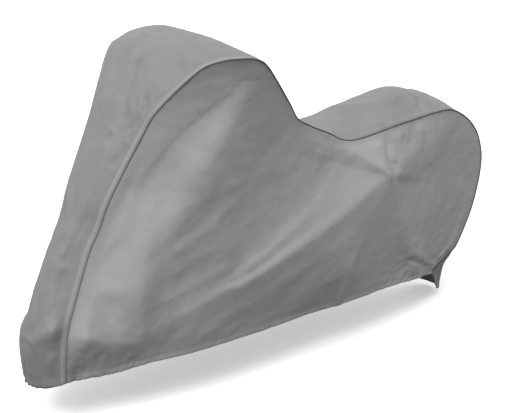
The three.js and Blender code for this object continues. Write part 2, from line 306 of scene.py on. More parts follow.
@dataclass(frozen=True)
class Crumple:
    """Seeded gradient noise, drawn out along one direction, as small uneven creases in cloth."""

    seed: int  # which creases
    cell: float  # size of one crease across its run, in millimetres
    lift: float  # height, in millimetres
    stretch: float = 1.0  # how much longer than wide a crease is
    turn: float = 0.0  # direction of the creases, in degrees from the first coordinate
    sharp: float = 0.0  # 0 for rolling swells, 1 for narrow creases between flat places

    # Corners of the lattice before it repeats, and how much the bare noise is raised
    LATTICE, RAISE = 97, 1.6
    # Noise at which a crease has come down to 0, and the rounding of its top
    FOOT, TOP = 0.35, 0.04

    def at(self, u: Array, v: Array) -> Array:
        """Reads the noise.

        Each corner of a square lattice has a random slope, and the four planes around a point are
        blended by 6t^5 - 15t^4 + 10t^3. A sharp crease is 1 - |n| / foot, with its top rounded.

        Args:
            u: First coordinates of the points, in millimetres.
            v: Second coordinates of the points, in millimetres.

        Returns:
            Lifts in millimetres, in the shape of u.
        """
        angle = math.radians(self.turn)
        x = (u * math.cos(angle) + v * math.sin(angle)) / (self.cell * self.stretch)
        y = (v * math.cos(angle) - u * math.sin(angle)) / self.cell
        slopes = np.random.default_rng(self.seed).uniform(0, TURN, (self.LATTICE, self.LATTICE))
        kx, ky = np.floor(x).astype(int), np.floor(y).astype(int)
        fx, fy = x - kx, y - ky

        def corner(dx: int, dy: int) -> Array:
            """The plane of one lattice corner."""
            slope = slopes[(kx + dx) % self.LATTICE, (ky + dy) % self.LATTICE]
            return np.cos(slope) * (fx - dx) + np.sin(slope) * (fy - dy)

        sx, sy = (t**3 * (t * (6 * t - 15) + 10) for t in (fx, fy))
        low, high = (corner(0, k) * (1 - sx) + corner(1, k) * sx for k in (0, 1))
        noise = low * (1 - sy) + high * sy
        crease = 1 - np.hypot(noise, self.TOP) / self.FOOT
        return self.lift * (noise * (1 - self.sharp) * self.RAISE + crease * self.sharp)


def summed(parts: tuple[Fold | Crumple, ...], u: Array, v: Array) -> Array:
    """Adds up the lifts of folds or crumples at the points."""
    return sum((part.at(u, v) for part in parts), np.zeros(u.shape))


@dataclass(frozen=True)
class Band:
    """A swelling along a line, or a dent where its height is negative."""

    height: float  # how high it is
    place: float  # distance of its middle
    width: float  # half its width

    def at(self, distance: Array) -> Array:
        """height exp(-((distance - place)/width)^2)."""
        return self.height * bell(distance - self.place, self.width)


@dataclass(frozen=True)
class Gather:
    """Elastic in a hem, which draws the cloth into small waves that die out away from it."""

    pitch: float  # length of one wave along the hem, in millimetres
    lift: float  # height of a wave at the hem
    reach: float  # how far from the hem the waves last
    seed: int  # which uneven waves

    def at(self, hem: Array, along: Array) -> Array:
        """Works out the waves: lift sin(2 pi (along + drift) / pitch) exp(-(hem/reach)^2).

        A wave half as long and a third as high is added, and both are uneven in pitch and height.

        Args:
            hem: Distance of each point from the hem.
            along: Distance of each point along the hem.

        Returns:
            Lifts in millimetres.
        """
        drift = Crumple(self.seed, 3 * self.pitch, self.pitch * 1.1).at(along, hem * 0.35)
        swell = 0.62 + Crumple(self.seed + 1, 2.2 * self.pitch, 0.75).at(along, hem * 0.2)
        wave = np.sin(TURN * (along + drift) / self.pitch)
        wave = wave + 0.35 * np.sin(2 * TURN * (along + 0.6 * drift) / self.pitch + 1.3)
        return self.lift * swell * wave * bell(hem, self.reach)


@dataclass(frozen=True)
class HemFold:
    """The turned-up edge of a panel: a band of doubled cloth, stitched along its upper edge."""

    width: float = 16.0  # width of the band, in millimetres
    lift: float = 2.0  # how far the doubled cloth stands out
    edge: float = 2.5  # half the width over which it comes down
    stitched: Band = Band(-1.0, 13.5, 2.2)  # the dent along its stitches
    thickness: float = 1.0  # thickness of the cloth
    doubled: float = 1.2  # what the band adds to it

    def at(self, hem: Array) -> Array:
        """The band stands out by lift up to its width, with a dent where it is stitched."""
        band = self.lift * smooth_step(hem, self.width + self.edge, self.width - self.edge)
        return band + self.stitched.at(hem)

    def thickness_at(self, hem: Array) -> Array:
        """Thickness of the cloth at each point."""
        return self.thickness + self.doubled * (hem < self.width)


@dataclass(frozen=True)
class SeamLine:
    """The two long seams and the middle line of the centre panel between them."""

    rows: tuple[SeamRow, ...] = SEAM_ROWS  # the table of the left seam
    hump_reach: float = 200.0  # how far ahead and behind the front hump fades out
    hump_foot: float = 850.0  # height at which the hump starts
    hump_full: float = 1000.0  # height from which it is full
    right_drop: float = 16.0  # how much lower the right end of the hump is
    right_tuck: float = 0.05  # how much nearer to the middle it is, as a share

    def spline(self) -> Spline:
        """The table as a curve of ahead, half, height, ridge ahead and ridge height."""
        keys = ("ahead", "half", "height", "ridge_ahead", "ridge_height")
        return Spline(np.array([[getattr(row, key) for key in keys] for row in self.rows], float))

    def values(self, stretch: int, shares: Array) -> Array:
        """Reads the table at shares of the length of one stretch.

        Args:
            stretch: 0 for up the front, 1 for along the top, 2 for down the rear.
            shares: Shares of its length, from 0 to 1.

        Returns:
            Table values, one row for each share.
        """
        names = [row.place for row in self.rows]
        turns = (0, names.index("hump end"), names.index("tail corner"), len(names) - 1)
        spline = self.spline()
        return spline.at(spline.places(turns[stretch], turns[stretch + 1], shares))

    def whole(self, steps: Steps) -> Array:
        """Table values along the whole seam, with that many even steps in each stretch."""
        parts = [self.values(k, np.linspace(0, 1, n + 1)) for k, n in enumerate(steps)]
        return np.concatenate([parts[0], parts[1][1:], parts[2][1:]])

    def hump_share(self, values: Array) -> Array:
        """How near each row is to the crest: exp(-(ahead/reach)^2), faded in with height."""
        high = smooth_step(values[:, 2], self.hump_foot, self.hump_full)
        return bell(values[:, 0], self.hump_reach) * high

    def points(self, values: Array, side: Side) -> Array:
        """Places the points of a seam.

        Args:
            values: Table values, one row for each point.
            side: Which seam.

        Returns:
            Points in millimetres from the origin, of shape (rows, 3).
        """
        share = self.hump_share(values) * (side is Side.RIGHT)
        y = side.value * values[:, 1] * (1 - self.right_tuck * share)
        z = values[:, 2] - self.right_drop * share - CREST_HEIGHT
        return np.stack([values[:, 0], y, z], axis=1)


def add_mesh(name: str, points: Array, quads: Array, material: Material) -> Piece:
    """Makes a smooth object of four-sided faces, at the origin.

    Args:
        name: The object's name.
        points: Points in millimetres.
        quads: Four point numbers for each face.
        material: The finish.

    Returns:
        The new object, in the scene.
    """
    mesh = bpy.data.meshes.new(name)
    mesh.from_pydata((points * MILLIMETRE).tolist(), [], quads.tolist())
    mesh.shade_smooth()
    mesh.validate()
    mesh.materials.append(material)
    piece = bpy.data.objects.new(name, mesh)
    bpy.context.scene.collection.objects.link(piece)
    return piece


def add_value(piece: Piece, name: str, values: Array) -> None:
    """Stores one number for each point under a name that a material reads."""
    attribute = piece.data.attributes.new(name, "FLOAT", "POINT")
    attribute.data.foreach_set("value", values.astype(np.float32))


def declare(piece: Piece, node: str) -> Piece:
    """Hangs a piece on the root and hides the solid that it replaces.

    Args:
        piece: The finished piece.
        node: The solid that it replaces.

    Returns:
        The piece.
    """
    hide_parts(node)
    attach(piece, "root")
    return piece


@dataclass
class Cloth:
    """A grid of cloth with what its finish needs to know, all in millimetres."""

    grid: Array  # points of the outer face, of shape (rows, columns, 3)
    hem: Array  # distance of each point from the hem
    seam: Array  # distance of each point from the nearest seam
    along: Array  # how far along its edge each point lies, for stitches
    weave: Array  # two coordinates of each point in the flat cloth
    thickness: Array  # thickness of the cloth at each point

    def turned(self) -> "Cloth":
        """The same cloth with its lines in the other order, so that its outer face is outside."""
        return Cloth(*(part[::-1] for part in vars(self).values()))

    def closed(self, name: str, material: Material) -> Piece:
        """Makes a closed piece: the outer face, the inner face below it, and the rim between them.

        Args:
            name: The piece's name.
            material: Its finish.

        Returns:
            The new piece.
        """
        inner = self.grid - grid_normals(self.grid) * self.thickness[..., None]
        points = np.concatenate([self.grid.reshape(-1, 3), inner.reshape(-1, 3)])
        below = self.hem.size
        index = np.arange(below).reshape(self.hem.shape)
        corners = [index[:-1, :-1], index[1:, :-1], index[1:, 1:], index[:-1, 1:]]
        outer = np.stack(corners, axis=-1).reshape(-1, 4)
        loop = np.concatenate([index[0, :-1], index[:-1, -1], index[-1, :0:-1], index[:0:-1, 0]])
        after = np.roll(loop, -1)
        rim = np.stack([loop, after, after + below, loop + below], axis=-1)
        quads = np.concatenate([outer, outer[:, ::-1] + below, rim])
        piece = add_mesh(name, points, quads, material)
        for key in ("hem", "seam", "along"):
            add_value(piece, key, np.tile(getattr(self, key).ravel(), 2) * MILLIMETRE)
        uv = np.tile(self.weave.reshape(-1, 2), (2, 1)) * MILLIMETRE
        layer = piece.data.uv_layers.new(name="weave")
        layer.data.foreach_set("uv", uv[quads.ravel()].astype(np.float32).ravel())
        return piece


def grey(value: float) -> tuple[float, float, float, float]:
    """A grey as a colour."""
    return value, value, value, 1.0


@dataclass(frozen=True)
class Sock:
    """A shader socket on which sums can be written."""

    tree: "ShaderTree"  # the nodes that it is in
    socket: bpy.types.NodeSocket  # the output socket

    def maths(self, operation: str, first: "Sock | float", second: "Sock | float" = 0.0) -> "Sock":
        """Adds one Math node."""
        return self.tree.read("Math", {"operation": operation}, {0: first, 1: second})

    def __add__(self, other: "Sock | float") -> "Sock":
        """self + other."""
        return self.maths("ADD", self, other)

    def __sub__(self, other: "Sock | float") -> "Sock":
        """self - other."""
        return self.maths("SUBTRACT", self, other)

    def __rsub__(self, other: float) -> "Sock":
        """other - self."""
        return self.maths("SUBTRACT", other, self)

    def __mul__(self, other: "Sock | float") -> "Sock":
        """self * other."""
        return self.maths("MULTIPLY", self, other)

    __radd__, __rmul__ = __add__, __mul__

    def sine(self) -> "Sock":
        """The sine of the value, in radians."""
        return self.maths("SINE", self)

    def size(self) -> "Sock":
        """The value without its sign."""
        return self.maths("ABSOLUTE", self)

    def between(self, low: float, high: float) -> "Sock":
        """Makes a soft step, from 0 at low to 1 at high, which may be the smaller.

        Args:
            low: The value at which it is 0.
            high: The value at which it is 1.

        Returns:
            The step.
        """
        sizes = {"Value": self, "From Min": min(low, high), "From Max": max(low, high)}
        settings = {"interpolation_type": "SMOOTHSTEP"}
        step = self.tree.read("MapRange", settings, sizes, "Result")
        return 1.0 - step if low > high else step


class ShaderTree:
    """The nodes of a material or a world under construction."""

    def __init__(self, owner: bpy.types.Material | bpy.types.World) -> None:
        """Starts with no nodes.

        Args:
            owner: The material or world.
        """
        self.owner = owner
        owner.use_nodes = True
        owner.node_tree.nodes.clear()

    def node(
        self, kind: str, settings: dict | None = None, inputs: dict | None = None
    ) -> bpy.types.Node:
        """Adds a node.

        Args:
            kind: The node's type, without ShaderNode before it.
            settings: Its own settings, set first. "stops" are a ramp's places and greys.
            inputs: Values or links of its sockets, by name or number.

        Returns:
            The node.
        """
        made = self.owner.node_tree.nodes.new(f"ShaderNode{kind}")
        for key, value in (settings or {}).items():
            if key == "stops":
                self._set_stops(made.color_ramp, value)
            else:
                setattr(made, key, value)
        for key, value in (inputs or {}).items():
            if isinstance(value, Sock):
                self.owner.node_tree.links.new(value.socket, made.inputs[key])
            else:
                made.inputs[key].default_value = value
        return made

    @staticmethod
    def _set_stops(ramp: bpy.types.ColorRamp, stops: tuple[Pair, ...]) -> None:
        """Gives a ramp its stops.

        Args:
            ramp: The ramp.
            stops: Its stops, each a place and a grey.
        """
        for k, (place, tone) in enumerate(stops):
            stop = ramp.elements[k] if k < 2 else ramp.elements.new(place)
            stop.position, stop.color = place, grey(tone)

    def read(
        self, kind: str, settings: dict | None = None, inputs: dict | None = None,
        output: str | int = 0,
    ) -> Sock:
        """Adds a node as above, and gives one of its outputs, by name or number."""
        return Sock(self, self.node(kind, settings, inputs).outputs[output])

    def value(self, name: str) -> Sock:
        """A number that the piece stores for each point."""
        return self.read("Attribute", {"attribute_name": name}, output="Fac")

    def axes(self, vector: Sock) -> list[Sock]:
        """The three numbers of a vector."""
        parts = self.node("SeparateXYZ", None, {0: vector})
        return [Sock(self, output) for output in parts.outputs]

    def noise(self, vector: Sock, scale: float, detail: float, roughness: float) -> Sock:
        """Noise from 0 to 1, with scale in cells for each metre."""
        inputs = {"Vector": vector, "Scale": scale, "Detail": detail, "Roughness": roughness}
        return self.read("TexNoise", None, inputs)

    def bump(self, *bumps: tuple[Sock, float, float]) -> Sock:
        """Bumps the surface, each bump on top of the one before.

        Args:
            bumps: For each, a height from 0 to 1, what 1 is in metres, and its strength.

        Returns:
            The normal.
        """
        normal = {}
        for height, metres, strength in bumps:
            inputs = {"Height": height, "Distance": metres, "Strength": strength}
            normal = {"Normal": self.read("Bump", None, inputs | normal)}
        return normal["Normal"]

    def ramp(self, tone: Sock, *stops: Pair) -> Sock:
        """A grey for each tone, from stops that are each a place and a grey."""
        return self.read("ValToRGB", {"stops": stops}, {"Fac": tone}, "Color")

    def surface(self, kind: str, inputs: dict) -> bpy.types.Material | bpy.types.World:
        """Ends in that shader.

        Args:
            kind: The shader node's type, likewise.
            inputs: Values or links of its sockets.

        Returns:
            The finished material or world.
        """
        end = type(self.owner).__name__
        shader = self.read(kind, None, inputs)
        self.node(f"Output{end}", None, {"Surface": shader})
        return self.owner

    def seen_as(self, seen: Sock, thrown: Sock) -> bpy.types.Material | bpy.types.World:
        """Ends in one shader for what the camera sees and another for the light that it throws."""
        ray = self.read("LightPath", output="Is Camera Ray")
        return self.surface("MixShader", {0: ray, 1: thrown, 2: seen})


@dataclass(frozen=True)
class ClothFinish:
    """Matt coated cloth with a fine weave, faint crumples and stitched edges. Lengths in metres."""

    name: str  # the material's name
    dark: float  # grey of its darkest places
    light: float  # grey of its lightest places
    doubled: float = 0.0  # how much paler it is along its seams, a painted highlight on the raised lip where it lies double
    soiled: float = 0.3  # how much darker it is low on the nose, painted shade where the cloth turns under
    roughness: float = 0.54  # how matt its smoothest places are
    thread: float = 0.0011  # distance between threads
    hem_stitch: float = 0.0135  # distance of the hem's stitches from its edge
    seam_stitch: float = 0.0075  # distance of the seam's stitches from the piping
    stitch: float = 0.0042  # length of a stitch and its gap
    stitch_edge: Pair = (0.0011, 0.0004)  # where a stitch starts and is full, from its middle
    lip_edge: Pair = (0.019, 0.012)  # where the painted highlight on the doubled cloth ends and is full, from the seam
    lip_run: Pair = (1.9, 1.2)  # where along the seam it has ended and is still full
    nose_slope: float = 0.32  # how much the upper edge of the painted shade climbs towards the nose
    nose_edge: Pair = (0.975, 1.03)  # where that part starts and is full, below the origin
    nose_run: Pair = (0.26, 0.40)  # where it starts and is full, ahead of the origin

    def build(self) -> Material:
        """Makes the material: weave, crumples and stitches in the bump; in the colour, mottling
        that is partly painted shade, a painted highlight along the seams and painted shade low on
        the nose.

        Returns:
            The material.
        """
        tree = ShaderTree(bpy.data.materials.new(self.name))
        uv = tree.read("UVMap", {"uv_map": "weave"}, output="UV")
        warp, weft, _ = (axis * (TURN / self.thread) for axis in tree.axes(uv))
        weave = warp.sine() * weft.sine() * 0.5 + 0.5
        hem, seam, along = (tree.value(name) for name in ("hem", "seam", "along"))
        lines = (hem - self.hem_stitch).size().between(*self.stitch_edge)
        lines = lines + (seam - self.seam_stitch).size().between(*self.stitch_edge)
        stitches = lines * (along * (TURN / self.stitch)).sine().between(-0.5, 0.0)
        swells = tree.noise(uv, 9.0, 3.0, 0.55)
        creases = tree.noise(uv, 34.0, 4.0, 0.6)
        grain = tree.noise(uv, 900.0, 2.0, 0.6)
        normal = tree.bump(
            (weave * 0.6 + grain * 0.8, 0.00012, 0.35),
            (creases, 0.0022, 0.42),
            (swells, 0.006, 0.5),
            (stitches, 0.0006, 0.7),
        )
        # Painted highlight: paler along the front of the seams, where the raised lip catches the
        # light
        lip = seam.between(*self.lip_edge) * along.between(*self.lip_run) * self.doubled
        # Painted shade low on the nose, where the cloth turns under: darker below a line that
        # climbs towards the nose
        ahead, _, height = tree.axes(tree.read("TexCoord", output="Object"))
        low_nose = (ahead * self.nose_slope - height).between(*self.nose_edge)
        painted_nose_shade = low_nose * ahead.between(*self.nose_run) * (creases * 1.4 + 0.3) * self.soiled
        # The noise that raises the bump also lightens the colour: random mottling, and painted
        # shade in the crumples' hollows
        tone = swells * 0.42 + creases * 0.28 + grain * 0.18 + weave * 0.12 - stitches * 0.2
        colour = tree.ramp(
            tone + lip - painted_nose_shade,
            (0.0, self.dark * 0.7), (0.28, self.dark), (0.72, self.light), (1.0, self.light * 1.13),
        )
        return tree.surface("BsdfPrincipled", {
            "Base Color": colour, "Roughness": creases * 0.16 + self.roughness, "Normal": normal,
            "Metallic": 0.0, "Specular IOR Level": 0.42, "Sheen Weight": 0.08,
            "Sheen Roughness": 0.5,
        })


@dataclass(frozen=True)
class PipingFinish:
    """Darker binding cloth round a cord, with painted light that makes it paler towards the nose.
    """

    name: str  # the material's name
    dark: float  # grey of the binding
    worn: float  # grey of its front end, which is painted light
    # Distances along the seam, in metres, where the painted light has ended and is still full
    worn_run: Pair = (1.15, 0.35)
    ribs: float = 900.0  # radians of the slanted rib for each metre

    def build(self) -> Material:
        """Makes the material: painted light along the seam, and the cut of the binding as a slanted
        rib.

        Returns:
            The material.
        """
        tree = ShaderTree(bpy.data.materials.new(self.name))
        along, around = tree.value("along"), tree.value("around")
        rib = (along * self.ribs + around * TURN).sine() * 0.5 + 0.5
        grain = tree.noise(tree.read("TexCoord", output="Object"), 420.0, 3.0, 0.6)
        # Painted light: the binding is paler towards the nose, where the light falls on it
        tone = along.between(*self.worn_run) * 0.86 + grain * 0.14
        return tree.surface("BsdfPrincipled", {
            "Base Color": tree.ramp(tone, (0.0, self.dark), (1.0, self.worn)), "Roughness": 0.7,
            "Normal": tree.bump((rib * 0.5 + grain * 0.5, 0.0003, 0.5)), "Specular IOR Level": 0.35,
        })


def folds(*rows: tuple) -> tuple[Fold, ...]:
    """Makes the folds of a table, one from each row."""
    return tuple(Fold(*row) for row in rows)


LEFT_FOLDS = folds(
    ("hump end ridge", (-50, 1022), (-12, 930), (97, 781), (9, 60), (38, 124), 2.3, TENT, 16),
    ("front ridge", (96, 687), (275, 551), (309, 287), (24, 32), (98, 134), 0.8, TENT, 13),
    ("fan swell", (137, 786), (256, 632), (353, 431), (-5.8, 26), (51, 83), 1.1),
    ("brow swell", (347, 595), (209, 831), (26, 998), (14, 8), (30, 73), 0.7),
    ("hump back trough", (-111, 964), (-307, 830), (-397, 718), (-3.8, 3.3), (41, 61), 0.9),
    ("mid swell", (51, 678), (-74, 652), (-257, 629), (-20, 0.7), (114, 76), 0.7),
    ("shelf ridge", (-672, 593), (-275, 455), (214, 301), (42, 10), (101, 135), 0.7, TENT, 7),
    ("high shelf ridge", (-545, 680), (-249, 510), (-67, 421), (2.6, 13), (15, 94), 1.1, CREASE, 8),
    ("high shelf trough", (-512, 569), (-267, 485), (-16, 385), (1.1, -11), (30, 12), 1.3),
    ("tail ridge", (-704, 602), (-845, 630), (-1053, 675), (17, 2.5), (98, 55), 0.6, CREASE, 22),
    ("dip ridge", (-680, 590), (-602, 657), (-522, 712), (17, 5), (22, 33), 0.9, CREASE, 6),
    ("dip trough", (-698, 578), (-570, 620), (-462, 668), (-27, -12), (27, 84), 0.8, CREASE, 20),
    ("seam trough", (-726, 617), (-673, 654), (-668, 720), (-8, 5.6), (14, 18), 0.9),
    ("second seam trough", (-701, 608), (-706, 668), (-746, 685), (-10, -4.5), (17, 17), 1.1),
    ("seam ridge", (-702, 601), (-701, 659), (-741, 726), (-1.1, -4.3), (16, 15)),
    ("tail seam trough", (-805, 686), (-829, 669), (-851, 728), (-5.1, -4.4), (18, 20), 1.1),
    ("tail seam ridge", (-825, 633), (-880, 658), (-882, 716), (-2.8, 8), (18, 16)),
    ("tail hollow", (-943, 590), (-1056, 604), (-1142, 494), (5.2, -5.8), (28, 91), 1.3),
    ("hem ridge", (-669, 589), (-583, 450), (-477, 320), (0.3, 27), (130, 86), 1.3, CREASE, 14),
    ("hem tip ridge", (-508, 345), (-492, 262), (-490, 176), (4, 15), (11, 13), 1.0, CREASE, 5),
    ("hem trough", (-418, 287), (-417, 227), (-415, 177), (-2.3, -26), (65, 74), 2.5),
    ("rear trough", (-713, 551), (-781, 384), (-879, 200), (14, 21), (41, 83), 0.6, CREASE, 18),
    ("rear low trough", (-676, 428), (-691, 298), (-730, 178), (10, -11), (67, 112), 2.1),
    ("rear hem trough", (-838, 238), (-884, 216), (-970, 172), (-7, -5), (9, 9)),
    ("rear hem ridge", (-840, 262), (-893, 238), (-960, 200), (6, 5), (15, 17), 1.1),
    ("rear cross fold", (-790, 370), (-847, 372), (-923, 377), (-0.7, 1.6), (19, 19), 1.1),
    ("rear second cross fold", (-781, 297), (-840, 293), (-906, 260), (0.1, 7), (20, 25), 1.5),
    ("low ridge", (-472, 434), (-355, 388), (-178, 342), (10, 10), (70, 70), 1.3, CREASE, 9),
    ("next low ridge", (-481, 393), (-270, 293), (-54, 235), (10, -12), (56, 71), 1.3, CREASE, 10),
    ("third low ridge", (-253, 343), (-119, 304), (31, 260), (4.2, 0.7), (21, 20), 0.9, CREASE, 10),
    ("low hem ridge", (-240, 241), (-120, 247), (-1, 201), (0.2, 3.1), (19, 15), 1.2),
    ("low hem trough", (72, 234), (-42, 264), (-219, 290), (5.1, 3.9), (33, 31), 1.2),
    ("fan ridge", (187, 523), (93, 567), (11, 623), (13, 11), (84, 25), 1.9, CREASE, 11),
    ("second fan ridge", (182, 465), (92, 499), (0, 505), (12, 7), (32, 36), 1.1, CREASE, 21),
    ("third fan ridge", (225, 371), (153, 397), (36, 435), (9, 11), (30, 36), 1.2, CREASE, 12),
    ("nose lap", (530, 318), (448, 283), (332, 254), (42, 12), (70, 108), 0.8, CREASE, 8),
    ("nose hollow", (470, 147), (379, 152), (290, 185), (-42, -30), (76, 86), 1.2),
    ("front low fold", (368, 305), (354, 229), (260, 197), (9, 10), (44, 86), 1.1, CREASE, 9),
    ("front seam hollow", (396, 470), (378, 590), (300, 707), (-11, -20), (46, 36), 1.2),
    ("brow hollow", (249, 778), (178, 865), (94, 997), (-16, -1), (48, 80), 1.2),
)

# Folds so near the left panel's rear seam that the seam itself gives way to them
LEFT_EDGE_FOLDS = folds(
    ("tuck lip", (-1072, 196), (-1030, 172), (-1016, 128), (8, 6), (13, 9), 1.0, CREASE, 4),
    ("tuck hollow", (-1098, 176), (-1062, 160), (-1036, 138), (-14, -11), (15, 15)),
    ("light fold", (-1160, 310), (-1130, 246), (-1098, 206), (5, 3), (14, 22), 1.0, CREASE, 5),
)

RIGHT_FOLDS = folds(
    ("hump end ridge", (-60, 1035), (60, 770), (200, 480), (32, 14), (70, 105)),
    ("front ridge", (210, 480), (300, 350), (420, 250), (14, 8), (60, 80)),
    ("shelf ridge", (-650, 600), (-300, 455), (120, 350), (22, 12), (95, 45)),
    ("saddle ridge", (-660, 605), (-850, 610), (-1020, 660), (16, 8), (40, 70)),
    ("dip trough", (-610, 610), (-540, 650), (-450, 690), (-12, -6), (30, 30)),
    ("rear ridge", (-655, 580), (-640, 400), (-590, 200), (10, 12), (40, 38)),
    ("rear trough", (-700, 560), (-830, 420), (-960, 260), (-10, -8), (48, 48)),
    ("long trough", (60, 640), (-120, 560), (-330, 560), (-8, -6), (55, 45)),
    ("hem trough", (40, 290), (-80, 250), (-220, 215), (-8, -8), (38, 32)),
    ("seam trough", (-690, 615), (-715, 660), (-730, 715), (-7, -3), (18, 18)),
    ("seam ridge", (-640, 620), (-655, 670), (-650, 705), (5, 3), (20, 20)),
    ("low ridge", (-330, 330), (-180, 290), (-20, 280), (6, 5), (26, 22)),
)

CENTRE_FOLDS = folds(
    ("front ridge", (1104, -87), (926, 17), (770, 49), (10, 10), (18, 13), 0.9, CREASE, 6),
    ("front trough", (984, 5), (883, 41), (823, 74), (-14, -4), (19, 21), 1.1),
    ("second ridge", (975, -64), (883, 0), (783, 22), (-1, 5), (18, 13), 1.2, CREASE, 5),
    ("low front ridge", (720, 54), (601, 62), (385, 41), (9, 11), (21, 16), 0.7, CREASE, 8),
    ("next low front ridge", (590, -48), (530, -17), (446, 17), (2, 12), (24, 20), 1.3, CREASE, 10),
    ("diagonal trough", (749, 117), (740, 114), (687, 96), (5, -4), (11, 12)),
    ("near wrinkle", (896, 121), (856, 129), (792, 106), (-7, -7), (8, 9), 1.1),
    ("near second wrinkle", (879, 91), (834, 108), (790, 89), (-4, 0), (8, 7)),
    ("near third wrinkle", (850, 125), (821, 121), (789, 113), (4, 4), (7, 7)),
    ("crown stem", (1065, 185), (1001, 168), (949, 148), (-24, 5), (37, 35), 0.9),
    ("crown fork", (1073, 123), (1053, 154), (1037, 178), (5, -5), (12, 12)),
    ("crown second fork", (1087, 222), (1050, 184), (1032, 172), (-8, -1), (14, 12), 1.1),
    ("crown line", (1093, -73), (1110, -31), (1096, 11), (5, 8), (11, 10), 1.1),
    ("crown trough", (1075, 79), (1127, 151), (1130, 226), (9, 9), (22, 55), 0.7),
    ("nose lap", (140, -98), (129, 18), (171, 73), (6, 14), (46, 20), 0.6, CREASE, 8),
    ("nose hollow", (128, 84), (105, 35), (118, -13), (8, -16), (52, 34), 1.4),
    ("nose ridge", (57, -5), (64, 58), (73, 91), (-8, 8), (18, 29), 1.2, CREASE, 8),
    ("nose light swell", (342, 41), (266, 46), (168, 85), (18, 18), (34, 25), 0.9),
    ("saddle front ridge", (1843, 120), (1849, 35), (1881, -61), (8, 8), (31, 26), 0.9, CREASE, 8),
    ("saddle ridge", (2006, -59), (2043, 34), (2158, 74), (11, 11), (14, 34), 0.9, CREASE, 8),
    ("saddle wrinkle", (2048, 110), (2035, 116), (2060, 141), (1, 9), (12, 11), 1.1),
    ("tail ridge", (2221, 26), (2247, 65), (2293, 134), (4, -9), (21, 18), 1.1, CREASE, 6),
    ("tail wrinkle", (2283, 93), (2264, 110), (2254, 132), (-8, -8), (14, 10)),
    ("tail trough", (2322, 76), (2297, 2), (2331, -80), (-4, -8), (38, 35)),
    ("rear trough", (2660, 60), (2700, 0), (2780, -50), (-6, -6), (36, 32)),
    ("rear ridge", (2560, -80), (2620, 10), (2740, 70), (6, 4), (30, 26), 1.0, CREASE, 8),
    ("corner tuck", (3010, 97), (3090, 95), (3165, 86), (-20, -28), (14, 17)),
    ("saddle seam wrinkle", (2060, 158), (2050, 132), (2046, 92), (9, 3), (10, 11)),
    ("next saddle seam wrinkle", (2222, 160), (2214, 134), (2196, 104), (-10, -3), (11, 12)),
    ("tail seam wrinkle", (2276, 154), (2262, 128), (2238, 98), (10, 3), (11, 11)),
)


